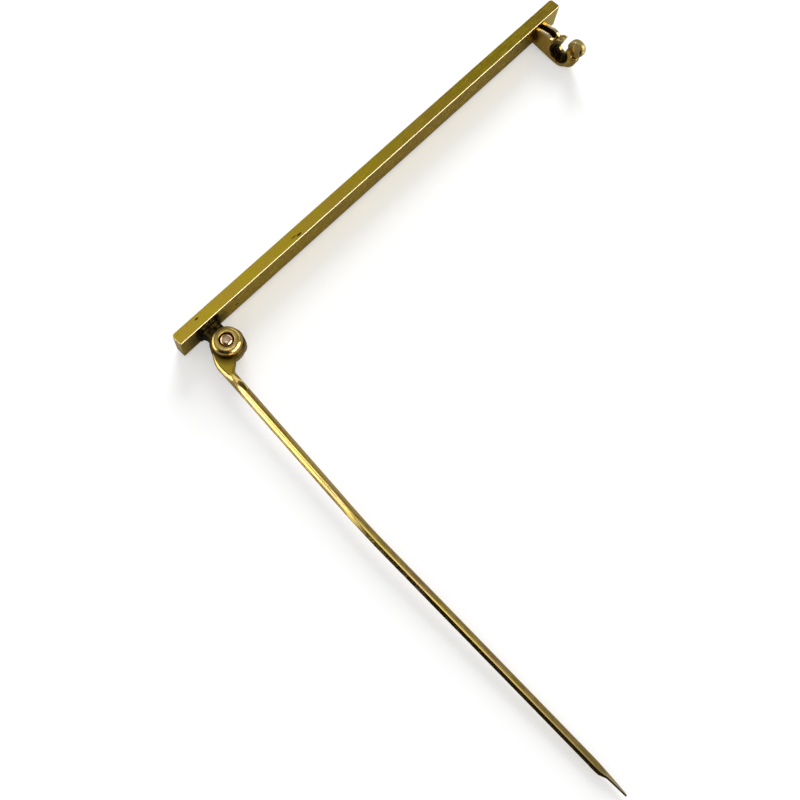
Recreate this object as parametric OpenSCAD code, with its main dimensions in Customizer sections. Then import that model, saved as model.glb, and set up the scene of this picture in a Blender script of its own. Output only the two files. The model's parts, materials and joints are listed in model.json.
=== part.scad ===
// Bar brooch: a plain rectangular bar with a riveted pin joint and a roll-over safety catch.
// Origin: centre of the bar's back face. +X runs along the bar from joint to catch,
// +Y points out of the display face, +Z runs across the bar's width. Millimetres.

/* [Bar] */
// Length of the bar
bar_l = 55; // [45:1:65]
// Width of the display face
bar_w = 2.75; // [2.6:0.05:3.4]
// Thickness from back face to display face
bar_t = 1.25; // [1:0.05:2]
// Softening of the display face's two end edges
bar_end_r = 0.4; // [0.2:0.05:0.6]

/* [Pin joint] */
// Distance of the joint axis from the bar's end
joint_inset = 3.2; // [3:0.1:5]
// Distance of the joint axis behind the back face
joint_standoff = 2.5; // [2.3:0.05:3]
// Outer radius of the two doughnut-shaped knuckle cheeks
knuckle_r = 1.45; // [1.3:0.05:1.6]
// Radius of the rounded rim of each cheek
knuckle_rim_r = 0.55; // [0.5:0.01:0.6]
// Width of the slot between the cheeks
joint_slot = 1; // [0.9:0.02:1.1]
// Radius of the rivet's shank
rivet_r = 0.4; // [0.3:0.05:0.5]
// Radius of the rivet's two domed heads
rivet_head_r = 0.62; // [0.55:0.01:0.7]

/* [Pin] */
// Thickness of the pin's flat head
pin_head_t = 0.96; // [0.8:0.02:1]
// Radius of the pin's flat head
pin_head_r = 1.62; // [1.5:0.02:1.65]
// Running clearance of the pin on the rivet
pin_clearance = 0.02; // [0.01:0.01:0.05]
// Distance from the joint axis to the tip, along the stem
pin_l = 51.25; // [45:0.25:60]
// Distance across the stem's corners near the head
stem_across = 1; // [0.8:0.02:1.05]
// Distance across the stem's corners where the point starts
stem_end_across = 0.86; // [0.7:0.02:0.95]
// Length of the filed point
point_l = 3.4; // [2:0.1:5]
// How far the pin stands open at rest
open_angle = 95.2; // [60:0.1:120]

/* [Catch] */
// Distance from the bar's far end to the catch's outer side
catch_inset = 2.55; // [2:0.05:6]
// Distance of the throat's centre behind the back face
throat_y = 3.4; // [3:0.05:4]
// Height of the throat's centre above the bar's middle line
throat_z = 0.1; // [-0.1:0.05:0.2]
// Radius of the throat in the two cheeks
throat_r = 1.2; // [1:0.05:1.25]
// Outer radius of the catch's body
catch_r = 1.56; // [1.5:0.02:1.7]
// Thickness of each cheek
cheek_t = 0.35; // [0.25:0.01:0.5]
// Width of the channel between the cheeks
channel_w = 0.7; // [0.6:0.02:0.9]

/* [Rotor] */
// Outer radius of the rotor ring
rotor_r = 1.36; // [1.3:0.01:1.4]
// Inner radius of the rotor ring
rotor_bore_r = 0.62; // [0.5:0.02:0.75]
// Width of the rotor's mouth
rotor_mouth = 0.85; // [0.75:0.05:0.85]
// Direction of the rotor's mouth at rest, from +Y towards +Z
mouth_angle = 101; // [99:1:103]
// Direction of the thumb tab at rest, from +Y towards +Z
tab_angle = 136; // [134:1:137]
// Radius of the thumb tab's two round ends
tab_r = 0.94; // [0.7:0.02:0.96]

/* [Hidden] */
$fn = 96;
eps = 0.01;

joint_x = -bar_l / 2 + joint_inset;
joint_y = -joint_standoff;

joint_plate_t = 0.25;
joint_plate_l = 2.5;
joint_plate_w = 2;
knuckle_core_r = knuckle_r - knuckle_rim_r;
knuckle_rim_z = joint_slot / 2 + 0.37;
dish_z = knuckle_rim_z + 0.22;
neck_w = 1.7;
neck_t = 0.85;
joint_relief_r = pin_head_r + 0.08;
rivet_cap_h = 0.25;
rivet_skirt_h = 0.16;

heel_r = 1.74;
heel_angle = 46;
neck_end = 1.6;
stem_start = 2.9;
stem_y = -1.68;
bend_at = 19;
bend_r = 90;
bend_angle = 3;
stem_lean = -0.7;
tip_across = 0.06;
head_bore_r = rivet_r + pin_clearance;

catch_x1 = bar_l / 2 - catch_inset;
catch_x0 = catch_x1 - channel_w - 2 * cheek_t;
channel_x = catch_x0 + cheek_t;
side_clearance = 0.03;
ring_clearance = 0.03;
cradle_r = rotor_r + ring_clearance;
cheek_mouth = [36, 130];
keeper_r = 0.75;
keeper_mouth = 0.95;
cradle_arc = [-191, 35];
lug_r = 1.6;
lug_shift = 0.42;
lug_arc = [169, 262];
tab_at = 2.06;
tab_stretch = 0.15;
tab_lean = 116;
tab_t = 0.62;

// A pie slice of the plane from angle a0 to angle a1, in steps of at most 15 degrees
module sector(r, a0, a1) {
    steps = ceil((a1 - a0) / 15);
    arc = [for (i = [0:steps]) let (a = a0 + (a1 - a0) * i / steps) r * [cos(a), sin(a)]];
    polygon(concat([[0, 0]], arc));
}

// Stands a drawing of the Y-Z plane up and gives it a thickness along +X
module slab_yz(x0, t) {
    translate([x0, 0, 0]) rotate([90, 0, 90]) linear_extrude(t) children();
}

module bar_outline() {
    translate([-bar_l / 2 + bar_end_r, 0]) square([bar_l - 2 * bar_end_r, bar_t]);
    translate([-bar_l / 2, 0]) square([bar_l, bar_t - bar_end_r]);
    for (side = [-1, 1])
        translate([side * (bar_l / 2 - bar_end_r), bar_t - bar_end_r]) circle(bar_end_r);
}

module bar() {
    color("goldenrod")
        translate([0, 0, -bar_w / 2]) linear_extrude(bar_w) bar_outline();
}

module joint_plate() {
    color("darkgoldenrod")
        translate([joint_x - joint_plate_l / 2, -joint_plate_t, -joint_plate_w / 2])
            cube([joint_plate_l, joint_plate_t, joint_plate_w]);
}

// One cheek above the slot: a flat core with a rounded rim, dished in the middle for the rivet
module knuckle_cheek() {
    difference() {
        union() {
            translate([0, 0, joint_slot / 2]) cylinder(r = knuckle_core_r, h = dish_z - joint_slot / 2);
            rotate_extrude() difference() {
                translate([knuckle_core_r, knuckle_rim_z]) circle(knuckle_rim_r);
                translate([0, knuckle_rim_z - 2 * knuckle_rim_r])
                    square([2 * knuckle_r, 2 * knuckle_rim_r + joint_slot / 2 - knuckle_rim_z]);
            }
            translate([-neck_w / 2, 0, joint_slot / 2])
                cube([neck_w, joint_standoff - joint_plate_t, neck_t - joint_slot / 2]);
        }
        translate([0, 0, dish_z]) cylinder(r = rivet_head_r + 0.06, h = 1);
        cylinder(r = rivet_r, h = 3);
    }
}

module joint_knuckle() {
    color("goldenrod") translate([joint_x, joint_y, 0]) {
        knuckle_cheek();
        mirror([0, 0, 1]) knuckle_cheek();
        difference() {
            translate([-neck_w / 2, 0, -joint_slot / 2])
                cube([neck_w, joint_standoff - joint_plate_t, joint_slot]);
            cylinder(r = joint_relief_r, h = 2 * joint_slot, center = true);
        }
    }
}

module rivet_head() {
    cap_r = (rivet_head_r * rivet_head_r + rivet_cap_h * rivet_cap_h) / (2 * rivet_cap_h);
    translate([0, 0, dish_z]) cylinder(r = rivet_head_r, h = rivet_skirt_h);
    translate([0, 0, dish_z + rivet_skirt_h]) intersection() {
        translate([0, 0, rivet_cap_h - cap_r]) sphere(cap_r);
        cylinder(r = rivet_head_r, h = 2 * rivet_cap_h);
    }
}

module hinge_rivet() {
    color("peru") translate([joint_x, joint_y, 0]) {
        cylinder(r = rivet_r, h = 2 * dish_z, center = true);
        rivet_head();
        mirror([0, 0, 1]) rivet_head();
    }
}

// Square section standing on its corner, drawn in the plane across the stem
module stem_section(across) {
    circle(d = across, $fn = 4);
}

// A straight stretch of stem along +X that narrows evenly
module stem_run(length, from, to) {
    rotate([90, 0, 90]) linear_extrude(length, scale = to / from) stem_section(from);
}

// Flat head with its bore, the stop heel and the shoulder that leads into the stem
module pin_head() {
    difference() {
        translate([0, 0, -pin_head_t / 2]) linear_extrude(pin_head_t) {
            circle(pin_head_r);
            polygon([
                pin_head_r * [cos(20), sin(20)], heel_r * [cos(heel_angle), sin(heel_angle)],
                pin_head_r * [cos(85), sin(85)], [0, 0]
            ]);
            polygon([
                [-0.45, -1.5], [0.45, -2], [neck_end, -2.2], [neck_end, -0.72], [1.3, 0.6], [0, 0]
            ]);
        }
        cylinder(r = head_bore_r, h = 2, center = true);
    }
}

// The pin in its own frame: joint axis at the origin, stem along +X as when it is closed
module closed_pin() {
    bend_l = bend_r * sin(bend_angle);
    run_1 = bend_at - stem_start;
    run_2 = pin_l - point_l - bend_at - bend_l;
    pin_head();
    hull() {
        translate([neck_end - eps, -2.2, -pin_head_t / 2]) cube([eps, 1.48, pin_head_t]);
        translate([stem_start, stem_y, 0]) rotate([0, 0, stem_lean])
            rotate([90, 0, 90]) linear_extrude(eps) stem_section(stem_across);
    }
    translate([stem_start, stem_y, 0]) rotate([0, 0, stem_lean]) {
        stem_run(run_1, stem_across, stem_across);
        translate([run_1, bend_r, 0]) rotate([0, 0, -90]) {
            rotate_extrude(angle = bend_angle) translate([bend_r, 0]) stem_section(stem_across);
            rotate([0, 0, bend_angle]) translate([bend_r, 0, 0]) rotate([0, 0, 90]) {
                translate([-eps, 0, 0]) stem_run(run_2 + 2 * eps, stem_across, stem_end_across);
                translate([run_2, 0, 0]) stem_run(point_l, stem_end_across, tip_across);
            }
        }
    }
}

module brooch_pin() {
    color("gold") translate([joint_x, joint_y, 0]) rotate([0, 0, -open_angle]) closed_pin();
}

// Side outline of the catch: a pedestal on the bar that runs into a round hook open at the top
module cheek_outline() {
    difference() {
        union() {
            translate([-throat_y, throat_z]) circle(catch_r);
            polygon([
                [0, 0.92], [-1.75, 1.24], [-2.2, 0.85], [-throat_y, 0],
                [-throat_y + 0.2, throat_z - catch_r + eps], [0, -1.05]
            ]);
        }
        translate([-throat_y, throat_z]) {
            circle(throat_r);
            sector(3, cheek_mouth[0], cheek_mouth[1]);
        }
    }
}

module catch_near_cheek() {
    color("goldenrod") slab_yz(catch_x0, cheek_t) cheek_outline();
}

// The far cheek's throat is narrower than the near one's, so that it backs the rotor
module keeper_outline() {
    translate([-throat_y, throat_z]) difference() {
        circle(throat_r + 0.1);
        circle(keeper_r);
        rotate(mouth_angle) translate([0, -keeper_mouth / 2]) square([3, keeper_mouth]);
    }
}

module catch_far_cheek() {
    color("goldenrod") slab_yz(catch_x1 - cheek_t, cheek_t) {
        cheek_outline();
        keeper_outline();
    }
}

// The piece between the cheeks: a foot on the bar, a wall that wraps the rotor, and a stop lug
module cradle_outline() {
    difference() {
        union() {
            intersection() {
                translate([-throat_y, throat_z]) circle(catch_r);
                translate([-throat_y, throat_z]) sector(3, cradle_arc[0], cradle_arc[1]);
            }
            polygon([[0, -0.15], [-2.2, -0.15], [-throat_y + 0.2, throat_z - catch_r + eps], [0, -1.05]]);
            translate([-throat_y, throat_z]) intersection() {
                translate([-lug_shift, 0]) circle(lug_r);
                sector(3, lug_arc[0], lug_arc[1]);
            }
        }
        translate([-throat_y, throat_z]) circle(cradle_r);
    }
}

module catch_cradle() {
    color("darkgoldenrod") slab_yz(channel_x, channel_w) cradle_outline();
}

module rotor_outline() {
    difference() {
        circle(rotor_r);
        circle(rotor_bore_r);
        rotate(mouth_angle) translate([0, -rotor_mouth / 2]) square([3, rotor_mouth]);
    }
}

module rotor_ring() {
    color("darkkhaki")
        slab_yz(channel_x + side_clearance, channel_w - 2 * side_clearance)
            translate([-throat_y, throat_z]) rotor_outline();
}

// Round, slightly long paddle that stands on the ring's rim
module tab_outline() {
    difference() {
        translate(tab_at * [cos(tab_angle), sin(tab_angle)]) rotate(tab_lean) {
            translate([-tab_stretch, 0]) circle(tab_r);
            translate([tab_stretch, 0]) circle(tab_r);
            translate([-tab_stretch, -tab_r]) square([2 * tab_stretch, 2 * tab_r]);
        }
        circle(rotor_r);
    }
}

module thumb_tab() {
    color("khaki")
        slab_yz(channel_x + (channel_w - tab_t) / 2, tab_t)
            translate([-throat_y, throat_z]) tab_outline();
}

bar();
joint_plate();
joint_knuckle();
hinge_rivet();
brooch_pin();
catch_near_cheek();
catch_far_cheek();
catch_cradle();
rotor_ring();
thumb_tab();
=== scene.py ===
"""Bar brooch with a riveted pin joint and a roll-over safety catch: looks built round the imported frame."""

import json
import math

import bmesh
import bpy
from mathutils import Matrix, Vector, noise


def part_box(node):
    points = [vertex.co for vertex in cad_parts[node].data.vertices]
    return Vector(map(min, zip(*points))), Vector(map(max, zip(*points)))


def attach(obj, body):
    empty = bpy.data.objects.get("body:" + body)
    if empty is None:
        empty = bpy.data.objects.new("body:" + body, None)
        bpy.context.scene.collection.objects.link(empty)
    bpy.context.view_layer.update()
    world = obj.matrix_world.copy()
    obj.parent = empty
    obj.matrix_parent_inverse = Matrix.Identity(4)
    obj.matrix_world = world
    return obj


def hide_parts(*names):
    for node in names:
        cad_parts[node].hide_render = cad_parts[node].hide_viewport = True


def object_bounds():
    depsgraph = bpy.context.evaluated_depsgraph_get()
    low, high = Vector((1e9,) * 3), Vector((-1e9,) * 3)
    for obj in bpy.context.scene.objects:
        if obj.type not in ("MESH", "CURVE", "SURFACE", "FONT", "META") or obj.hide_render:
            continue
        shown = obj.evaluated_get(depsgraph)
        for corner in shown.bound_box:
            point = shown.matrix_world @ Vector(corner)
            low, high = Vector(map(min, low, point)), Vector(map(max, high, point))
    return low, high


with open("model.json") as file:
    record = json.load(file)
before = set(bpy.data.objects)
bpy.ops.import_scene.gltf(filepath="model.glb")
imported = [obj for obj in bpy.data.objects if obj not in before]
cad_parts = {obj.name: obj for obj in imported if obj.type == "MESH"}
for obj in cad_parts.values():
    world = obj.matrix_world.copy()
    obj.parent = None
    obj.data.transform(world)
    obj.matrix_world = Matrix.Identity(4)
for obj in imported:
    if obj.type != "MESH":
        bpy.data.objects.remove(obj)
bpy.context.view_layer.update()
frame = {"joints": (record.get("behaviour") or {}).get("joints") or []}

MM = 0.001
JOINTS = {joint["name"]: Vector(joint["pos_m"]) / MM for joint in frame["joints"]}
PIN_AXIS = JOINTS["pin_hinge"]
THROAT = JOINTS["catch_roll"]


# ---------------------------------------------------------------- mesh helpers, all in millimetres

def node_box(node):
    """Lowest and highest corner of a CAD node, in millimetres."""
    low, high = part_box(node)
    return low / MM, high / MM


def arc(radius, start, end, centre=(0, 0), step=4):
    """Points on an arc from one angle to another, in degrees."""
    count = max(2, math.ceil(abs(end - start) / step))
    angles = [math.radians(start + (end - start) * i / count) for i in range(count + 1)]
    return [(centre[0] + radius * math.cos(a), centre[1] + radius * math.sin(a)) for a in angles]


def rounded(points, radii, step=12):
    """A closed outline with each corner replaced by a curve that starts that far from it."""
    smooth = []
    for i, radius in enumerate(radii):
        corner = Vector(points[i])
        before = Vector(points[i - 1])
        after = Vector(points[(i + 1) % len(points)])
        if radius == 0:
            smooth.append(tuple(corner))
            continue
        start = corner + (before - corner).normalized() * radius
        end = corner + (after - corner).normalized() * radius
        for k in range(step + 1):
            t = k / step
            smooth.append(tuple(start * (1 - t) ** 2 + corner * 2 * t * (1 - t) + end * t ** 2))
    return smooth


def prism(bm, outline, low, high, place):
    """A closed slab: an outline carried from low to high, each point put in space by place(u, v, w)."""
    count = len(outline)
    rings = [[bm.verts.new(place(u, v, w)) for u, v in outline] for w in (low, high)]
    for i in range(count):
        j = (i + 1) % count
        bm.faces.new((rings[0][i], rings[0][j], rings[1][j], rings[1][i]))
    bm.faces.new(rings[0][::-1])
    bm.faces.new(rings[1])


def skin(bm, rings):
    """A closed form through rings of vertices that all have the same number of corners."""
    for a, b in zip(rings, rings[1:]):
        for i in range(len(a)):
            j = (i + 1) % len(a)
            bm.faces.new((a[i], a[j], b[j], b[i]))
    bm.faces.new(rings[0][::-1])
    bm.faces.new(rings[-1])


def lathe(bm, profile, centre, steps=96, flip=1, uneven=0.0):
    """A closed profile of (radius, height) points turned about Z. flip=-1 mirrors it below the centre."""
    rings = []
    for radius, height in profile:
        if radius == 0:
            rings.append([bm.verts.new(centre + Vector((0, 0, flip * height)))])
            continue
        ring = []
        for i in range(steps):
            a = 2 * math.pi * i / steps
            at = Vector((radius * math.cos(a), radius * math.sin(a), flip * height))
            swell = 1 + uneven * noise.noise(at * 2.1)
            ring.append(bm.verts.new(centre + at * swell))
        rings.append(ring)
    for a, b in zip(rings, rings[1:] + rings[:1]):
        if len(a) == 1 and len(b) == 1:
            continue
        for i in range(steps):
            j = (i + 1) % steps
            if len(a) == 1:
                bm.faces.new((a[0], b[j], b[i]))
            elif len(b) == 1:
                bm.faces.new((a[i], a[j], b[0]))
            else:
                bm.faces.new((a[i], a[j], b[j], b[i]))


def piece(name, bm, body, nodes, material, bevel=0.05, segments=3, corner=30):
    """Turns a finished bmesh into a named piece with softened edges that rides on its body."""
    bmesh.ops.recalc_face_normals(bm, faces=bm.faces)
    bmesh.ops.scale(bm, vec=(MM, MM, MM), verts=bm.verts)
    mesh = bpy.data.meshes.new(name)
    bm.to_mesh(mesh)
    bm.free()
    mesh.polygons.foreach_set("use_smooth", [True] * len(mesh.polygons))
    mesh.materials.append(material)
    obj = bpy.data.objects.new(name, mesh)
    bpy.context.scene.collection.objects.link(obj)
    if bevel:
        soft = obj.modifiers.new("soft edges", "BEVEL")
        soft.width = bevel * MM
        soft.segments = segments
        soft.limit_method = "ANGLE"
        soft.angle_limit = math.radians(corner)
        obj.modifiers.new("clean normals", "WEIGHTED_NORMAL")
    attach(obj, body)
    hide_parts(*nodes)


# ---------------------------------------------------------------- materials

class Nodes:
    """A material under construction, with short calls for the nodes used again and again."""

    def __init__(self, name):
        self.material = bpy.data.materials.new(name)
        self.material.use_nodes = True
        self.tree = self.material.node_tree
        self.shader = self.tree.nodes["Principled BSDF"]
        self.coords = self.tree.nodes.new("ShaderNodeTexCoord").outputs["Object"]

    def link(self, source, target):
        self.tree.links.new(source, target)

    def grain(self, per_mm, stretch=(1, 1, 1), detail=4.0, rough=0.55):
        """Noise with that many features per millimetre along each axis times stretch, from 0 to 1."""
        mapping = self.tree.nodes.new("ShaderNodeMapping")
        mapping.inputs["Scale"].default_value = [per_mm / MM * s for s in stretch]
        texture = self.tree.nodes.new("ShaderNodeTexNoise")
        texture.inputs["Scale"].default_value = 1.0
        texture.inputs["Detail"].default_value = detail
        texture.inputs["Roughness"].default_value = rough
        self.link(self.coords, mapping.inputs["Vector"])
        self.link(mapping.outputs["Vector"], texture.inputs["Vector"])
        return texture.outputs["Fac"]

    def remap(self, value, low, high, to_low=0.0, to_high=1.0):
        """A smooth step from to_low to to_high as value goes from low to high."""
        node = self.tree.nodes.new("ShaderNodeMapRange")
        node.interpolation_type = "SMOOTHSTEP"
        for key, number in (("From Min", low), ("From Max", high), ("To Min", to_low), ("To Max", to_high)):
            node.inputs[key].default_value = number
        self.link(value, node.inputs["Value"])
        return node.outputs["Result"]

    def math(self, operation, a, b):
        node = self.tree.nodes.new("ShaderNodeMath")
        node.operation = operation
        for socket, value in zip(node.inputs, (a, b)):
            if isinstance(value, (int, float)):
                socket.default_value = value
            else:
                self.link(value, socket)
        return node.outputs[0]

    def mix(self, factor, a, b):
        """Colour a where factor is 0 and b where it is 1."""
        node = self.tree.nodes.new("ShaderNodeMix")
        node.data_type = "RGBA"
        sockets = [s for s in node.inputs if s.type == "RGBA"]
        for socket, value in zip(sockets, (a, b)):
            if isinstance(value, tuple):
                socket.default_value = (*value, 1)
            else:
                self.link(value, socket)
        self.link(factor, node.inputs["Factor"])
        return [s for s in node.outputs if s.type == "RGBA"][0]

    def spot(self, centre, radii, soft=0.35):
        """1 inside an ellipsoid given in millimetres, fading to 0 outside it."""
        moved = self.tree.nodes.new("ShaderNodeVectorMath")
        moved.operation = "SUBTRACT"
        moved.inputs[1].default_value = [c * MM for c in centre]
        self.link(self.coords, moved.inputs[0])
        scaled = self.tree.nodes.new("ShaderNodeVectorMath")
        scaled.operation = "DIVIDE"
        scaled.inputs[1].default_value = [r * MM for r in radii]
        self.link(moved.outputs[0], scaled.inputs[0])
        length = self.tree.nodes.new("ShaderNodeVectorMath")
        length.operation = "LENGTH"
        self.link(scaled.outputs[0], length.inputs[0])
        return self.remap(length.outputs["Value"], 1 - soft, 1 + soft, 1.0, 0.0)

    def bump(self, height, depth_mm, previous=None):
        node = self.tree.nodes.new("ShaderNodeBump")
        node.inputs["Strength"].default_value = 1.0
        node.inputs["Distance"].default_value = depth_mm * MM
        self.link(height, node.inputs["Height"])
        if previous:
            self.link(previous, node.inputs["Normal"])
        return node.outputs["Normal"]


# Near-black, used as painted shade in recesses, gaps and dents.
SHADE_BLACK = (0.008, 0.004, 0.001)
# Pale, used for painted highlights along edges and also for light scratches.
PALE_HIGHLIGHT_AND_SCRATCH = (0.95, 0.80, 0.50)
# Deep olive, a stain that also stands in for painted shade.
OLIVE_STAIN_AND_SHADE = (0.52, 0.37, 0.02)

# features per millimetre
DRIFT_GRAIN = 0.35
WAVE_GRAIN = 0.8
PATCH_GRAIN = 0.9
TARNISH_GRAIN = 1.6
RAGGED_GRAIN = 2.5
STREAK_GRAIN = 9.0

# how far marks go down, as multiples of the brushing's depth
DENT_DEPTH = 8.0
SCRATCH_DEPTH = 4.0


def gold(name, colour, worn, deep, rough, brush=(1, 1, 1), brush_depth=0.002, wave_depth=0.004,
         painted_shade=(), pits=(), rubs=(), painted_highlights=(), stains_and_shade=()):
    """Old polished gold. Its tone drifts between colour and worn, with deep tarnish in places, fine
    brushing and soft waves. The mark lists, in the order given, are near-black painted shade over recesses,
    gaps and faces that reflect dark surroundings, small dents with painted shade in them, light scratches,
    pale painted highlights along edges, and deep olive patches that are partly stain, partly painted shade."""
    n = Nodes(name)
    drift = n.remap(n.grain(DRIFT_GRAIN, detail=3.0), 0.35, 0.65)
    tone = n.mix(drift, colour, worn)
    streak = n.grain(STREAK_GRAIN, brush, detail=5.0)
    tarnish = n.remap(n.grain(TARNISH_GRAIN, detail=6.0, rough=0.65), 0.57, 0.78, 0.0, 0.8)
    tone = n.mix(tarnish, tone, deep)
    height = streak
    smear = n.remap(streak, 0.3, 0.7, rough * 0.75, rough * 1.3)
    patch = n.remap(n.grain(PATCH_GRAIN, detail=3.0), 0.35, 0.7, 0.0, 0.08)
    roughness = n.math("ADD", smear, patch)
    # Deep olive patches, partly stain and partly painted shade.
    for centre, radii in stains_and_shade:
        tone = n.mix(n.math("MULTIPLY", n.spot(centre, radii), 0.9), tone, OLIVE_STAIN_AND_SHADE)
    # Painted shade: near-black with ragged edges, laid over recesses, gaps and faces that reflect dark
    # surroundings.
    for centre, radii, amount in painted_shade:
        ragged = n.remap(n.grain(RAGGED_GRAIN, detail=5.0), 0.2, 0.6, amount * 0.8, amount)
        cover = n.math("MULTIPLY", n.spot(centre, radii), ragged)
        tone = n.mix(cover, tone, SHADE_BLACK)
        roughness = n.math("ADD", roughness, n.math("MULTIPLY", cover, 0.2))
    # Small dents, with painted shade in them.
    for centre, radii in pits:
        dent = n.spot(centre, radii)
        tone = n.mix(n.math("MULTIPLY", dent, 0.85), tone, SHADE_BLACK)
        height = n.math("SUBTRACT", height, n.math("MULTIPLY", dent, DENT_DEPTH))
    # Painted highlights: pale lines along edges.
    for centre, radii in painted_highlights:
        tone = n.mix(n.math("MULTIPLY", n.spot(centre, radii), 0.85), tone, PALE_HIGHLIGHT_AND_SCRATCH)
    for centre, radii in rubs:
        line = n.spot(centre, radii)
        tone = n.mix(n.math("MULTIPLY", line, 0.8), tone, PALE_HIGHLIGHT_AND_SCRATCH)
        height = n.math("SUBTRACT", height, n.math("MULTIPLY", line, SCRATCH_DEPTH))
    n.link(tone, n.shader.inputs["Base Color"])
    n.link(roughness, n.shader.inputs["Roughness"])
    n.shader.inputs["Metallic"].default_value = 1.0
    waves = n.bump(n.grain(WAVE_GRAIN, detail=2.0), wave_depth)
    n.link(n.bump(height, brush_depth, waves), n.shader.inputs["Normal"])
    return n.material


def beside(point, x=0.0, y=0.0, z=0.0):
    """A place that far from a joint's axis, in millimetres."""
    return (point.x + x, point.y + y, point.z + z)


BAR_LOW, BAR_HIGH = node_box("bar")
TOP = BAR_HIGH.z
BACK_DENT = (0.16, 0.2, 0.16)
YELLOW = (0.78, 0.57, 0.13)
WORN_YELLOW = (0.76, 0.53, 0.17)
# Painted shade and dark reflection on the back face beside the joint and beside the catch; painted shade in
# small dents on the back and top; painted highlights along the top back edge and both end edges.
BAR_GOLD = gold(
    "bar gold", (0.78, 0.58, 0.035), (0.76, 0.53, 0.055), (0.55, 0.38, 0.03), 0.20,
    brush=(0.08, 1, 1), brush_depth=0.0008, wave_depth=0.003,
    painted_shade=[(beside(PIN_AXIS, y=1.5, z=-0.2), (2.6, 1.6, 1.5), 0.9),
           (beside(THROAT, y=3.2, z=-0.2), (1.0, 0.5, 1.3), 0.8)],
    pits=[((-20.75, 0, -0.35), BACK_DENT), ((20.8, 0, -0.1), BACK_DENT),
          ((-24.75, 0.85, TOP), (0.2, 0.09, 0.1)), ((-12.05, 0.35, TOP), (0.28, 0.1, 0.1)),
          ((-11.5, 0, TOP), (0.14, 0.07, 0.1)), ((-12.6, 0.5, TOP), (0.3, 0.05, 0.1))],
    painted_highlights=[((0, 0, TOP), (40, 0.1, 0.1)), ((BAR_LOW.x, 0.6, TOP), (0.09, 0.8, 0.09)),
          ((BAR_HIGH.x - 0.1, 0.3, TOP), (0.12, 0.9, 0.09))])
# Painted shade on the neck and plate between the cheeks and the bar, and in the upper dish round the rivet's
# head.
FINDINGS_GOLD = gold(
    "findings gold", YELLOW, WORN_YELLOW, (0.42, 0.27, 0.05), 0.21, wave_depth=0.010,
    painted_shade=[(beside(PIN_AXIS, y=2.0, z=0.3), (2.3, 1.35, 1.8), 1.0),
           (beside(PIN_AXIS, z=1.15), (0.9, 0.9, 0.22), 0.9)])
# A lighter gold than the far cheek's, painted light for the near cheek's face, which reflects shaded floor;
# painted shade beside the bar and round the throat; a painted highlight along the top edge.
CATCH_GOLD = gold(
    "catch gold", (1.0, 0.73, 0.17), (0.95, 0.60, 0.13), (0.55, 0.34, 0.05), 0.17, wave_depth=0.014,
    painted_shade=[(beside(THROAT, x=-0.5, y=3.6), (0.8, 0.9, 1.0), 0.9),
           (beside(THROAT, x=-0.2), (0.38, 1.45, 1.45), 1.0)],
    painted_highlights=[(beside(THROAT, x=-0.6, y=2.2, z=0.98), (0.3, 1.3, 0.15))])
# Painted shade inside the channel and round the small throat; a painted highlight along the far cheek's top
# edge.
CHANNEL_GOLD = gold(
    "catch gold, painted shade inside", YELLOW, (0.66, 0.44, 0.10), (0.42, 0.26, 0.05), 0.17,
    painted_shade=[(beside(THROAT, y=1.9, z=0.1), (0.42, 1.9, 0.95), 1.0),
           (beside(THROAT), (0.36, 1.42, 1.42), 1.0)],
    painted_highlights=[(beside(THROAT, x=0.6, y=2.0, z=1.02), (0.25, 1.3, 0.15))])
# Painted shade at the foot of the upper head, in the cheek's dish.
RIVET_GOLD = gold(
    "rivet gold", (0.86, 0.62, 0.40), (0.84, 0.56, 0.36), (0.60, 0.38, 0.24), 0.18,
    brush_depth=0.003, wave_depth=0.012,
    painted_shade=[(beside(PIN_AXIS, z=1.0), (1.0, 1.0, 0.18), 0.8)])
# Painted shade over the ring, strongest below its middle, where it sits inside the catch.
ROTOR_GOLD = gold(
    "rotor gold", (0.62, 0.47, 0.15), (0.66, 0.51, 0.20), (0.44, 0.32, 0.10), 0.30,
    brush_depth=0.002, wave_depth=0.003,
    painted_shade=[(beside(THROAT, z=-0.35), (1.0, 1.55, 1.35), 1.0)])
# Two slot marks: small dents with painted shade in them. The light scratch across the rim is wear.
TAB_GOLD = gold(
    "brushed tab gold", (0.50, 0.38, 0.12), (0.54, 0.42, 0.16), (0.36, 0.27, 0.08), 0.46,
    brush=(1, 0.25, 0.6), brush_depth=0.002, wave_depth=0.002,
    pits=[(beside(THROAT, x=-0.3, y=-2.15, z=1.65), (0.2, 0.1, 0.34)),
          (beside(THROAT, x=-0.3, y=-2.35, z=1.2), (0.2, 0.08, 0.14))],
    rubs=[(beside(THROAT, x=-0.3, y=-1.23, z=1.95), (0.35, 0.055, 0.62))])


# ---------------------------------------------------------------- the bar and the pin joint

BAR_END_R = 0.4
BACK_CORNER_R = 0.1
BAR_CUTS = 90
CUT_MARGIN = 0.6
WANDER_DEPTH = 0.008


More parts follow.
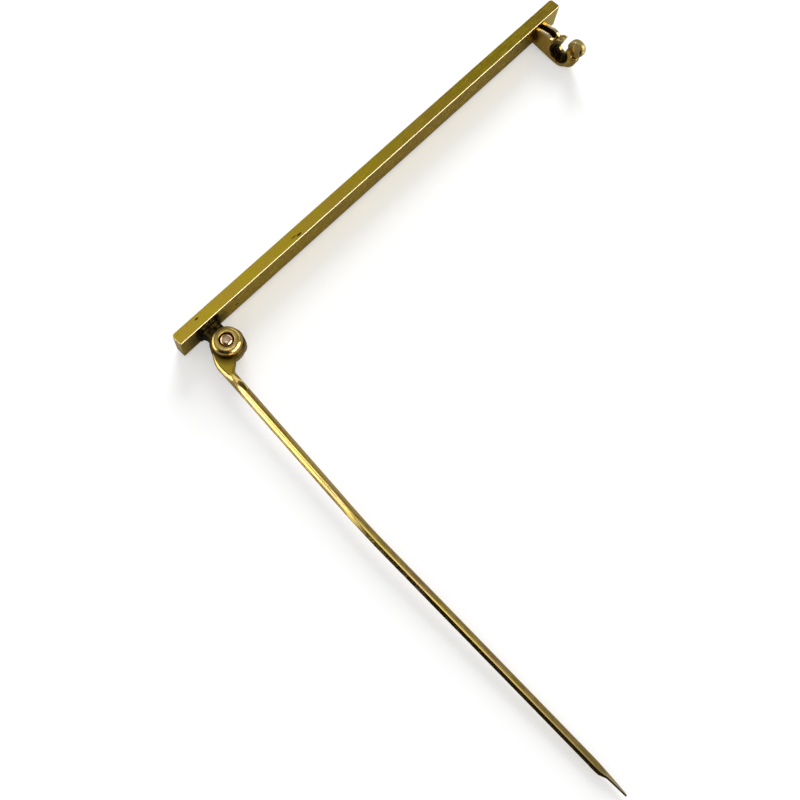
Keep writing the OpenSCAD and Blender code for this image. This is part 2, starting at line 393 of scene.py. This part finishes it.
def make_bar():
    """The bar, cut into short lengths so that its long faces can run very slightly uneven."""
    low, high = BAR_LOW, BAR_HIGH
    outline = rounded(
        [(low.x, low.y), (high.x, low.y), (high.x, high.y), (low.x, high.y)],
        [BACK_CORNER_R] * 2 + [BAR_END_R] * 2)
    bm = bmesh.new()
    prism(bm, outline, low.z, high.z, lambda u, v, w: Vector((u, v, w)))
    for i in range(1, BAR_CUTS):
        x = low.x + CUT_MARGIN + (high.x - low.x - 2 * CUT_MARGIN) * i / BAR_CUTS
        geometry = bm.verts[:] + bm.edges[:] + bm.faces[:]
        bmesh.ops.bisect_plane(bm, geom=geometry, plane_co=(x, 0, 0), plane_no=(1, 0, 0))
    middle = (low + high) / 2
    for v in bm.verts:
        inward = Vector((0, middle.y - v.co.y, middle.z - v.co.z)).normalized()
        wander = 0.5 + 0.5 * noise.noise(Vector((v.co.x * 0.12, v.co.y, v.co.z)))
        v.co += inward * WANDER_DEPTH * wander
    piece("bar_body", bm, "bar_frame", ["bar"], BAR_GOLD, bevel=0.12, segments=4)


PLATE_CORNER_R = 0.25
BEAD = 0.12


def make_joint_plate():
    """The soldering plate with the low, uneven bead of solder that runs round its foot."""
    low, high = node_box("joint_plate")
    bm = bmesh.new()
    outline = rounded([(low.x, low.z), (high.x, low.z), (high.x, high.z), (low.x, high.z)],
                      [PLATE_CORNER_R] * 4)
    prism(bm, outline, low.y, high.y, lambda u, v, w: Vector((u, w, v)))
    centre = (low + high) / 2
    bead = []
    half_x = (high.x - low.x) / 2 + BEAD
    half_z = (high.z - low.z) / 2 + BEAD
    steps = 72
    for i in range(steps):
        a = 2 * math.pi * i / steps
        reach = 1 + 0.05 * noise.noise(Vector((3 * math.cos(a), 3 * math.sin(a), 5)))
        corner = (abs(math.cos(a)) ** 4 + abs(math.sin(a)) ** 4) ** -0.25
        bead.append((centre.x + half_x * corner * math.cos(a) * reach,
                     centre.z + half_z * corner * math.sin(a) * reach))
    prism(bm, bead, high.y - BEAD, high.y, lambda u, v, w: Vector((u, w, v)))
    piece("joint_base", bm, "bar_frame", ["joint_plate"], FINDINGS_GOLD, bevel=0.07)


SLOT_HALF = 0.5
CHEEK_CORE_R = 0.9
CHEEK_RIM_R = 0.55
CHEEK_RIM_Z = 0.87
DISH_R = 0.68
DISH_Z = 1.09
RIVET_R = 0.4
NECK_HALF_W = 0.85
NECK_HALF_T = 0.85
NECK_ARM_TOP = 0.6
FLARE = 0.18
FLARE_H = 0.3
RELIEF_R = 1.7


def cheek_profile():
    """Half section of one cheek: flat inside, a round rim, and a dish for the rivet's head."""
    rim_start = math.degrees(math.asin((SLOT_HALF - CHEEK_RIM_Z) / CHEEK_RIM_R))
    rim = arc(CHEEK_RIM_R, rim_start, 108, (CHEEK_CORE_R, CHEEK_RIM_Z), step=6)
    wall = [(DISH_R + 0.01, DISH_Z + 0.16), (DISH_R, DISH_Z + 0.05), (DISH_R - 0.05, DISH_Z)]
    return [(RIVET_R, SLOT_HALF)] + rim + wall + [(RIVET_R, DISH_Z)]


def make_knuckle():
    """Two doughnut cheeks on one neck that stands on the plate and leaves a slot for the pin's head."""
    plate_low, _ = node_box("joint_plate")
    foot = plate_low.y - PIN_AXIS.y
    bm = bmesh.new()
    for flip in (1, -1):
        lathe(bm, cheek_profile(), PIN_AXIS, flip=flip, uneven=0.012)
    flare = [(-NECK_HALF_W, foot - FLARE_H), (-NECK_HALF_W - FLARE, foot),
             (NECK_HALF_W + FLARE, foot), (NECK_HALF_W, foot - FLARE_H)]
    web = arc(RELIEF_R, 60, 120) + flare
    prism(bm, web, -SLOT_HALF, SLOT_HALF, lambda u, v, w: PIN_AXIS + Vector((u, v, w)))
    arm = [(-NECK_HALF_W, NECK_ARM_TOP), (NECK_HALF_W, NECK_ARM_TOP)] + flare[::-1]
    for low, high in ((SLOT_HALF, NECK_HALF_T), (-NECK_HALF_T, -SLOT_HALF)):
        prism(bm, arm, low, high, lambda u, v, w: PIN_AXIS + Vector((u, v, w)))
    piece("knuckle", bm, "bar_frame", ["joint_knuckle"], FINDINGS_GOLD,
          bevel=0.06, corner=40)


DOME_STEPS = 15
DOME_FOOT = 0.04
HAMMERED = 0.035


def make_rivet():
    """Rivet with hammered domes: the heads are slightly uneven, as a peened rivet's are."""
    low, high = node_box("hinge_rivet")
    head_r = (high.x - low.x) / 2
    top = high.z - PIN_AXIS.z
    cap = top - DISH_Z
    dome = []
    for i in range(DOME_STEPS):
        a = math.radians(90 * i / DOME_STEPS)
        dome.append((head_r * math.cos(a) ** 0.75, DISH_Z + DOME_FOOT + (cap - DOME_FOOT) * math.sin(a)))
    dome.append((0, top))
    profile = [(0, 0), (RIVET_R, 0), (RIVET_R, DISH_Z), (head_r - 0.03, DISH_Z)] + dome
    bm = bmesh.new()
    for flip in (1, -1):
        lathe(bm, profile, PIN_AXIS, flip=flip)
    bmesh.ops.remove_doubles(bm, verts=bm.verts, dist=1e-5)
    for v in bm.verts:
        height = abs(v.co.z - PIN_AXIS.z)
        if height > DISH_Z + 0.1:
            dent = 0.5 + 0.5 * noise.noise(v.co * 3.2)
            v.co.z -= math.copysign(HAMMERED * dent, v.co.z - PIN_AXIS.z)
    piece("rivet", bm, "bar_frame", ["hinge_rivet"], RIVET_GOLD, bevel=0)


# ---------------------------------------------------------------- the pin

OPEN_ANGLE = 95.2
HEAD_HALF_T = 0.48
HEAD_R = 1.62
NECK_START = -0.25
NECK_ROOT = 0.12
STEM_START = 3.1
STEM_Y = -1.68
STEM_LEAN = -0.7
BEND_AT = 19.0
BEND_R = 90.0
BEND_ANGLE = 3.0
PIN_L = 51.24
POINT_L = 3.4
STEM_HALF = 0.5
STEM_END_HALF = 0.41
RIDGE = 0.045
CROWN = 0.065
NICK_AT = 4.1
NICK_HALF_L = 0.75
NICK_DEPTH = 0.13
NECK_SHOULDER = 0.9
SHOULDER_FROM = 1.35
SHOULDER_L = 1.3
FACET_ROOT = 0.08
RIGHT_FACET_ROOT = 0.05
RIGHT_FACET_FROM = 1.3
TIP_SHARE = 0.45
TIP_TOP = 0.3
LEFT_CUT_END = 1.9
LEFT_CUT_L = 0.9
BULGE = 0.02
BULGE_AT = 3.0
BULGE_L = 0.5
RIDGE_SHIFT = 0.26
LEFT_FACET_RISE = 0.86


def closed_to_rest(point):
    """Puts the closed pin's drawing into the open rest pose. Its joint axis is at the origin there, and its
    stem runs along +X."""
    return PIN_AXIS + Matrix.Rotation(math.radians(-OPEN_ANGLE), 3, "Z") @ Vector(point)


def stem_line(s):
    """Centre of the stem and its direction in degrees, at distance s along +X from the joint axis."""
    if s < STEM_START:
        return Vector((s, STEM_Y, 0)), 0.0
    lean = math.radians(STEM_LEAN)
    along = s - STEM_START
    to_bend = BEND_AT - STEM_START
    start = Vector((STEM_START, STEM_Y, 0))
    straight = Vector((math.cos(lean), math.sin(lean), 0))
    if along <= to_bend:
        return start + straight * along, STEM_LEAN
    side = Vector((-straight.y, straight.x, 0))
    turned = min((along - to_bend) / BEND_R, math.radians(BEND_ANGLE))
    bend = start + straight * (to_bend + BEND_R * math.sin(turned))
    bend += side * BEND_R * (1 - math.cos(turned))
    after = along - to_bend - BEND_R * turned
    angle = STEM_LEAN + math.degrees(turned)
    direction = Vector((math.cos(math.radians(angle)), math.sin(math.radians(angle)), 0))
    return bend + direction * max(after, 0), angle


def ease(t):
    t = min(max(t, 0.0), 1.0)
    return t * t * (3 - 2 * t)


def bump_at(s, centre, width):
    """A smooth bell from 0 to 1 along the pin."""
    return math.exp(-((s - centre) / width) ** 2)


def stem_twist(s):
    """How far the square section is turned about the stem's own line, in degrees."""
    return 16 * bump_at(s, 3.45, 0.7)


def ridge_lean(s):
    """0 on the first length of the stem, growing to 1 past the bend, where the ridge sits to the left."""
    return ease((s - BEND_AT + 3) / 6)


def neck_section(s):
    """Corners where the flat head narrows into the stem: the left edge is filed at 45 degrees all along."""
    t = (s - NECK_START) / (STEM_START - NECK_START)
    left = NECK_ROOT - (STEM_HALF + NECK_ROOT) * (1 - (1 - min(t * 1.9, 1)) ** 2)
    right = STEM_HALF + NECK_SHOULDER * (1 - ease((s - SHOULDER_FROM) / SHOULDER_L))
    left_chamfer = FACET_ROOT + (STEM_HALF - RIDGE - FACET_ROOT) * t ** 0.75
    filed = ease((s - RIGHT_FACET_FROM) / (STEM_START - RIGHT_FACET_FROM))
    right_chamfer = RIGHT_FACET_ROOT + (STEM_HALF - RIDGE - RIGHT_FACET_ROOT) * filed
    top = HEAD_HALF_T + (STEM_HALF - HEAD_HALF_T) * t
    return [(right - right_chamfer, top), (left + left_chamfer, top),
            (left, top - left_chamfer), (left, left_chamfer - top),
            (left + left_chamfer, -top), (right - right_chamfer, -top),
            (right, right_chamfer - top), (right, top - right_chamfer)]


def square_section(s):
    """Corners of the square stem. Past the bend its ridge leans to the left. The point is filed down to a
    tip that lies right of the stem's centre line, and bulges a little on its left near where it starts."""
    to_tip = PIN_L - s
    share = (s - STEM_START) / (PIN_L - POINT_L - STEM_START)
    half = STEM_HALF + (STEM_END_HALF - STEM_HALF) * min(share, 1)
    lean = ridge_lean(s)
    near = min(to_tip / POINT_L, 1)
    right = half * (TIP_SHARE + (1 - TIP_SHARE) * near ** 0.8)
    left = -half * (TIP_SHARE * near + (1 - TIP_SHARE) * ease((to_tip - LEFT_CUT_END) / LEFT_CUT_L))
    left -= BULGE * bump_at(to_tip, BULGE_AT, BULGE_L)
    top = half * (TIP_TOP + (1 - TIP_TOP) * near)
    flat = RIDGE * near
    ridge = (right + left) / 2 - RIDGE_SHIFT * half * lean * near
    raised = lean * (top - LEFT_FACET_RISE * (ridge - left))
    return [(ridge + flat, top), (ridge - flat, top), (left, raised + flat), (left, raised - flat),
            (ridge - flat, -top), (ridge + flat, -top), (right, -flat), (right, flat)]


def stem_loop(s, strips=6):
    """The section's outline in short strips, its broad sides slightly rounded, turned by the stem's twist.
    A filed nick runs along the right upper side behind the neck."""
    corners = neck_section(s) if s < STEM_START else square_section(s)
    turn = Matrix.Rotation(math.radians(stem_twist(s)), 2)
    points = []
    for i, corner in enumerate(corners):
        here = Vector(corner)
        side = Vector(corners[(i + 1) % len(corners)]) - here
        outward = Vector((side.y, -side.x)).normalized()
        crown = CROWN * (1 - 0.8 * ridge_lean(s)) * side.length if i % 2 else 0.0
        for k in range(strips):
            t = k / strips
            point = here + side * t + outward * crown * (4 * t * (1 - t) - 0.5)
            if i == len(corners) - 1:
                across = max(1 - abs(t - 0.6) / 0.34, 0)
                along = ease((1 - abs(s - NICK_AT) / NICK_HALF_L) * 1.8)
                point -= Vector((NICK_DEPTH, NICK_DEPTH)) * across * along
            points.append(turn @ point)
    return points


def head_outline():
    """Round head with the stop heel on one side."""
    heel = [(0.62, 1.5), (1.06, 1.37), (1.26, 1.19)]
    return arc(HEAD_R, 20, -272, step=5) + heel


# Painted shade on the head under the joint's cheek and in the filed nick; a painted highlight along the
# ridge near the point; a deep olive patch on the head, partly stain and partly painted shade.
PIN_GOLD = gold(
    "pin gold", (0.80, 0.59, 0.15), (0.78, 0.54, 0.20), (0.55, 0.37, 0.08), 0.13,
    brush=(1, 0.1, 1), brush_depth=0.0004, wave_depth=0.0008,
    painted_shade=[(beside(PIN_AXIS, z=0.5), (1.9, 1.9, 0.8), 1.0),
           (tuple(closed_to_rest(stem_line(NICK_AT)[0] + Vector((0, 0.2, 0.3)))), (0.2, 0.62, 0.2), 0.9)],
    painted_highlights=[(tuple(closed_to_rest(stem_line(PIN_L - 1.6)[0] + Vector((0, 0.08, 0.2)))), (0.09, 1.7, 0.3))],
    stains_and_shade=[(beside(PIN_AXIS, x=-1.1, y=-1.6, z=0.5), (1.2, 1.5, 0.3))])


NECK_STEP = 0.08
STEM_STEP = 0.35
POINT_STEP = 0.1


def make_pin():
    """One piece: a flat head, a neck that twists a little, a bent square stem and a hand-filed point. The
    head isn't bored, because the fork's cheeks hide its middle."""
    bm = bmesh.new()
    prism(bm, head_outline(), -HEAD_HALF_T, HEAD_HALF_T, lambda u, v, w: closed_to_rest((u, v, w)))
    stations = [NECK_START + NECK_STEP * i for i in range(74)]
    coarse_from = stations[-1]
    coarse_count = int((PIN_L - 4.4 - coarse_from) / STEM_STEP)
    stations += [coarse_from + STEM_STEP * (i + 1) for i in range(coarse_count)]
    stations += [PIN_L - 4.2 + POINT_STEP * i for i in range(42)] + [PIN_L]
    rings = []
    for s in stations:
        centre, angle = stem_line(s)
        turn = Matrix.Rotation(math.radians(angle), 3, "Z")
        loop = stem_loop(min(s, PIN_L - 0.02))
        rings.append([bm.verts.new(closed_to_rest(centre + turn @ Vector((0, p.x, p.y)))) for p in loop])
    skin(bm, rings)
    piece("pin_with_head", bm, "pin", ["brooch_pin"], PIN_GOLD,
          bevel=0.035, segments=2, corner=24)


# ---------------------------------------------------------------- the catch

THROAT_R = 1.2
CATCH_R = 1.56
KEEPER_R = 0.75
KEEPER_OUT_R = 1.3
KEEPER_HALF = 0.475
CRADLE_R = 1.39
ROTOR_R = 1.36
ROTOR_BORE_R = 0.62
ROTOR_HALF = 0.425
MOUTH_ANGLE = 101.0
CHEEK_MOUTH = (36.0, 130.0)
LUG_R = 1.6
LUG_SHIFT = 0.42
TAB_AT = 2.06
TAB_ANGLE = 136.0
TAB_R = 0.935
TAB_STRETCH = 0.15
TAB_LEAN = 116.0
TAB_SINK = 0.06
TAB_EDGE = 0.15
GROOVES = (163.0, 195.0)
GROOVE_DEPTH = 0.09
GROOVE_WIDTH = 4.5


def throat_point(radius, angle):
    a = math.radians(angle)
    return (THROAT.y + radius * math.cos(a), THROAT.z + radius * math.sin(a))


def throat_arc(radius, start, end):
    return arc(radius, start, end, (THROAT.y, THROAT.z))


def slot_angles(half_width, radius):
    """Angles at which the rotor's mouth, that wide, meets a circle round the throat."""
    spread = math.degrees(math.asin(half_width / radius))
    return MOUTH_ANGLE - spread, MOUTH_ANGLE + spread


def stand(u, v, w):
    """Puts a drawing of the Y-Z plane at distance w along X."""
    return Vector((w, u, v))


def shoulder():
    """Top edge of both cheeks, from the bar's back to the hook, with its corners filed round."""
    corners = [(0.0, 0.92), (-1.75, 1.24), (-2.22, 0.88), throat_point(CATCH_R, 36)]
    return rounded(corners, [0, 0.42, 0.22, 0], step=8)


def hook_back():
    """The cheeks' outer edge, from the tip of the hook's outer arm round its underside to the bar."""
    return throat_arc(CATCH_R, CHEEK_MOUTH[1], 262) + [(-3.2, -1.44), (-1.6, -1.27), (0.0, -1.05)]


def make_near_cheek():
    """Side plate towards the joint, with the wide throat."""
    low, high = node_box("catch_near_cheek")
    outline = shoulder() + throat_arc(THROAT_R, CHEEK_MOUTH[0], CHEEK_MOUTH[1] - 360) + hook_back()
    bm = bmesh.new()
    prism(bm, outline, low.x, high.x, stand)
    piece("catch_cheek_near", bm, "bar_frame", ["catch_near_cheek"], CATCH_GOLD,
          bevel=0.12, segments=4, corner=35)


def make_far_cheek():
    """Side plate towards the bar's end, with a narrow slot into the small throat that keeps the pin."""
    low, high = node_box("catch_far_cheek")
    out_start, out_end = slot_angles(KEEPER_HALF, KEEPER_OUT_R)
    in_start, in_end = slot_angles(KEEPER_HALF, KEEPER_R)
    outline = (shoulder() + throat_arc(KEEPER_OUT_R, CHEEK_MOUTH[0], out_start)
               + throat_arc(KEEPER_R, in_start, in_end - 360)
               + throat_arc(KEEPER_OUT_R, out_end, CHEEK_MOUTH[1]) + hook_back())
    bm = bmesh.new()
    prism(bm, outline, low.x, high.x, stand)
    piece("catch_cheek_far", bm, "bar_frame", ["catch_far_cheek"], CHANNEL_GOLD,
          bevel=0.07, segments=3, corner=35)


def make_cradle():
    """The filling between the cheeks: foot, thin wall round the rotor, and the lug the tab rests on."""
    low, high = node_box("catch_cradle")
    lug = []
    for angle in range(169, 263, 3):
        a = math.radians(angle)
        toward = -LUG_SHIFT * math.cos(a)
        lug.append(throat_point(toward + math.sqrt(toward ** 2 + LUG_R ** 2 - LUG_SHIFT ** 2), angle))
    outline = ([(0.0, -0.15)] + throat_arc(CATCH_R - 0.02, -9, 34) + throat_arc(CRADLE_R, 34, -191)
               + lug + [(-3.2, -1.42), (0.0, -1.03)])
    bm = bmesh.new()
    prism(bm, outline, low.x + 0.005, high.x - 0.005, stand)
    piece("catch_filling", bm, "bar_frame", ["catch_cradle"], CHANNEL_GOLD,
          bevel=0.03, segments=2, corner=35)


def make_rotor():
    """C-shaped ring that turns in the catch, its mouth in line with the far cheek's slot at rest."""
    low, high = node_box("rotor_ring")
    out_start, out_end = slot_angles(ROTOR_HALF, ROTOR_R)
    in_start, in_end = slot_angles(ROTOR_HALF, ROTOR_BORE_R)
    outline = (throat_arc(ROTOR_R, out_end, out_start + 360)
               + throat_arc(ROTOR_BORE_R, in_start + 360, in_end))
    bm = bmesh.new()
    prism(bm, outline, low.x, high.x, stand)
    piece("rotor", bm, "rotor", ["rotor_ring"], ROTOR_GOLD,
          bevel=0.06, segments=3, corner=35)


def tab_outline(inset):
    """The paddle's round outline, drawn in by inset, with two short grip grooves filed across its rim."""
    centre = Vector(throat_point(TAB_AT, TAB_ANGLE))
    ring_centre = Vector((THROAT.y, THROAT.z))
    lean = Matrix.Rotation(math.radians(TAB_LEAN), 2)
    points = []
    for angle in range(0, 360, 3):
        a = math.radians(angle - TAB_LEAN)
        stretch = TAB_STRETCH * math.copysign(min(abs(math.cos(a)) * 3, 1), math.cos(a))
        nick = sum(GROOVE_DEPTH * bump_at(angle, groove, GROOVE_WIDTH) for groove in GROOVES)
        reach = TAB_R - inset - nick
        at = centre + lean @ Vector((stretch + reach * math.cos(a), reach * math.sin(a)))
        out = at - ring_centre
        if out.length < ROTOR_R - TAB_SINK:
            at = ring_centre + out.normalized() * (ROTOR_R - TAB_SINK)
        points.append(at)
    return points


def make_thumb_tab():
    """Round paddle with a full soft rim."""
    low, high = node_box("thumb_tab")
    middle, half = (low.x + high.x) / 2, (high.x - low.x) / 2
    bm = bmesh.new()
    rings = []
    steps = 14
    for i in range(steps + 1):
        a = math.pi * (i / steps - 0.5)
        inset = TAB_EDGE * (1 - math.cos(a) ** 0.8)
        rings.append([bm.verts.new((middle + half * math.sin(a), p.x, p.y)) for p in tab_outline(inset)])
    skin(bm, rings)
    piece("thumb_paddle", bm, "rotor", ["thumb_tab"], TAB_GOLD, bevel=0)


# ---------------------------------------------------------------- floor, light and camera

FLOOR_HALF = 1.5
FLOOR_SLOPE = 0.0222
FLOOR_GAP = 0.00005
FLOOR_TO_METAL = 0.36
FLOOR_TO_CAMERA = 0.62
FLOOR_GLOW = 0.45


def make_floor(lowest):
    """A white table top just under the lowest point. It leans by a degree or so, so that the open pin's
    end lies close over it as well. It is paler to the camera than to the metal that reflects it."""
    bm = bmesh.new()
    bmesh.ops.create_grid(bm, x_segments=1, y_segments=1, size=FLOOR_HALF)
    mesh = bpy.data.meshes.new("floor")
    bm.to_mesh(mesh)
    bm.free()
    floor = bpy.data.objects.new("floor", mesh)
    bpy.context.scene.collection.objects.link(floor)
    floor.rotation_euler.x = -math.atan(FLOOR_SLOPE)
    floor.location = (0, PIN_AXIS.y * MM, lowest - FLOOR_GAP)
    material = bpy.data.materials.new("floor white")
    material.use_nodes = True
    nodes, links = material.node_tree.nodes, material.node_tree.links
    shader = nodes["Principled BSDF"]
    shader.inputs["Roughness"].default_value = 0.9
    shader.inputs["Specular IOR Level"].default_value = 0.0
    shader.inputs["Emission Color"].default_value = (1, 1, 1, 1)
    rays = nodes.new("ShaderNodeLightPath")
    tone = nodes.new("ShaderNodeMapRange")
    tone.inputs["To Min"].default_value = FLOOR_TO_METAL
    tone.inputs["To Max"].default_value = FLOOR_TO_CAMERA
    links.new(rays.outputs["Is Camera Ray"], tone.inputs["Value"])
    white = nodes.new("ShaderNodeCombineColor")
    for channel in ("Red", "Green", "Blue"):
        links.new(tone.outputs["Result"], white.inputs[channel])
    links.new(white.outputs["Color"], shader.inputs["Base Color"])
    glow = nodes.new("ShaderNodeMath")
    glow.operation = "MULTIPLY"
    glow.inputs[1].default_value = FLOOR_GLOW
    links.new(rays.outputs["Is Camera Ray"], glow.inputs[0])
    links.new(glow.outputs[0], shader.inputs["Emission Strength"])
    mesh.materials.append(material)


# strength of the grey surroundings below and above a soft step, and the elevations of that step
SKY_LOW = 0.17
SKY_HIGH = 0.30
SKY_STEP = (42.0, 68.0)
# strength for the rays that aren't reflections, and for the camera's own
FILL = 0.6
BACKDROP = 1.0
PANELS = [
    # azimuth, half width, lowest, highest elevation, softness, strength
    (126, 38, 3, 23, 2, 3.6),       # low, beyond the display face on the joint's side
    (290, 32, 8, 42, 5, 4.5),       # behind the bar, past the open pin's point
    (15, 27, 12, 32, 6, 1.1),       # weak, beyond the catch
    (102, 62, 48, 80, 24, 0.26),    # faint and wide, high over the display face
    (0, 400, 78, 100, 4, 1.2),      # overhead
]
# an unlit stretch behind the joint, in the same terms, with the share of light left in it
DARK = (204, 39, -20, 62, 2, 0.05)


def make_world():
    """Soft studio. Only reflections see its panels and its dark stretch. Everything else gets an even fill,
    and the camera sees a white backdrop."""
    world = bpy.data.worlds.new("studio")
    bpy.context.scene.world = world
    world.use_nodes = True
    tree = world.node_tree
    background = tree.nodes["Background"]
    background.inputs["Color"].default_value = (1, 1, 1, 1)

    def put(socket, value):
        if isinstance(value, (int, float)):
            socket.default_value = value
        else:
            tree.links.new(value, socket)

    def calc(operation, *values):
        node = tree.nodes.new("ShaderNodeMath")
        node.operation = operation
        for socket, value in zip(node.inputs, values):
            put(socket, value)
        return node.outputs[0]

    def step(value, low, high, to_low=0.0, to_high=1.0):
        node = tree.nodes.new("ShaderNodeMapRange")
        node.interpolation_type = "SMOOTHSTEP"
        for socket, number in zip(node.inputs, (value, low, high, to_low, to_high)):
            put(socket, number)
        return node.outputs["Result"]

    coords = tree.nodes.new("ShaderNodeTexCoord")
    split = tree.nodes.new("ShaderNodeSeparateXYZ")
    tree.links.new(coords.outputs["Generated"], split.inputs[0])
    x, y, z = split.outputs
    azimuth = calc("MULTIPLY", calc("ARCTAN2", y, x), 180 / math.pi)
    height = calc("MULTIPLY", calc("ARCSINE", z), 180 / math.pi)

    def patch(centre, half, low, high, soft):
        away = calc("ABSOLUTE", calc("WRAP", calc("SUBTRACT", azimuth, centre), 180.0, -180.0))
        inside = step(away, half - soft, half + soft, 1.0, 0.0)
        above = step(height, low - soft, low + soft)
        below = step(height, high - soft, high + soft, 1.0, 0.0)
        return calc("MULTIPLY", inside, calc("MULTIPLY", above, below))

    total = step(height, *SKY_STEP, SKY_LOW, SKY_HIGH)
    for centre, half, low, high, soft, strength in PANELS:
        total = calc("ADD", total, calc("MULTIPLY", patch(centre, half, low, high, soft), strength))
    centre, half, low, high, soft, left_over = DARK
    shade = calc("SUBTRACT", 1.0, calc("MULTIPLY", patch(centre, half, low, high, soft), 1.0 - left_over))
    seen = calc("MULTIPLY", total, shade)
    rays = tree.nodes.new("ShaderNodeLightPath")
    choice = tree.nodes.new("ShaderNodeMix")
    put(choice.inputs["Factor"], rays.outputs["Is Glossy Ray"])
    put(choice.inputs["A"], FILL)
    put(choice.inputs["B"], seen)
    backdrop = tree.nodes.new("ShaderNodeMix")
    put(backdrop.inputs["Factor"], rays.outputs["Is Camera Ray"])
    put(backdrop.inputs["A"], choice.outputs["Result"])
    put(backdrop.inputs["B"], BACKDROP)
    put(background.inputs["Strength"], backdrop.outputs["Result"])


KEY_SIZE = 0.30
KEY_ENERGY = 2.7
KEY_AZIMUTH = 44
KEY_ELEVATION = 24
KEY_DISTANCE = 0.5


def make_key_light():
    """Large soft lamp, low on the side of the display face and the catch. It isn't reflected in the
    metal, so it only lights the floor and casts the shadows."""
    light = bpy.data.lights.new("window", "AREA")
    light.shape = "DISK"
    light.size = KEY_SIZE
    light.energy = KEY_ENERGY
    lamp = bpy.data.objects.new("window", light)
    bpy.context.scene.collection.objects.link(lamp)
    azimuth = math.radians(KEY_AZIMUTH)
    elevation = math.radians(KEY_ELEVATION)
    across = math.cos(elevation)
    direction = Vector((math.cos(azimuth) * across, math.sin(azimuth) * across, math.sin(elevation)))
    lamp.location = direction * KEY_DISTANCE
    lamp.rotation_euler = (-lamp.location).to_track_quat("-Z", "Y").to_euler()
    lamp.visible_glossy = False
    lamp.visible_camera = False


CAMERA_AT = Vector((-41.32, -30.43, 77.08))
CAMERA_RIGHT = Vector((0.66984, -0.73760, 0.08523))
CAMERA_FORWARD = Vector((0.29432, 0.15838, -0.94249))
CAMERA_LENS = 40.34


def make_camera():
    """Close view from above the pin joint, a little to its left."""
    data = bpy.data.cameras.new("camera")
    data.sensor_width = 36
    data.lens = CAMERA_LENS
    data.clip_start = 0.001
    camera = bpy.data.objects.new("camera", data)
    bpy.context.scene.collection.objects.link(camera)
    forward = CAMERA_FORWARD.normalized()
    up = CAMERA_RIGHT.cross(forward).normalized()
    right = forward.cross(up)
    turn = Matrix((right, up, -forward)).transposed()
    camera.matrix_world = Matrix.Translation(CAMERA_AT * MM) @ turn.to_4x4()
    bpy.context.scene.camera = camera


make_bar()
make_joint_plate()
make_knuckle()
make_rivet()
make_pin()
make_near_cheek()
make_far_cheek()
make_cradle()
make_rotor()
make_thumb_tab()
visual_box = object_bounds()
make_floor(visual_box[0].z)
make_world()
make_key_light()
make_camera()
bpy.context.scene.view_settings.view_transform = "Standard"
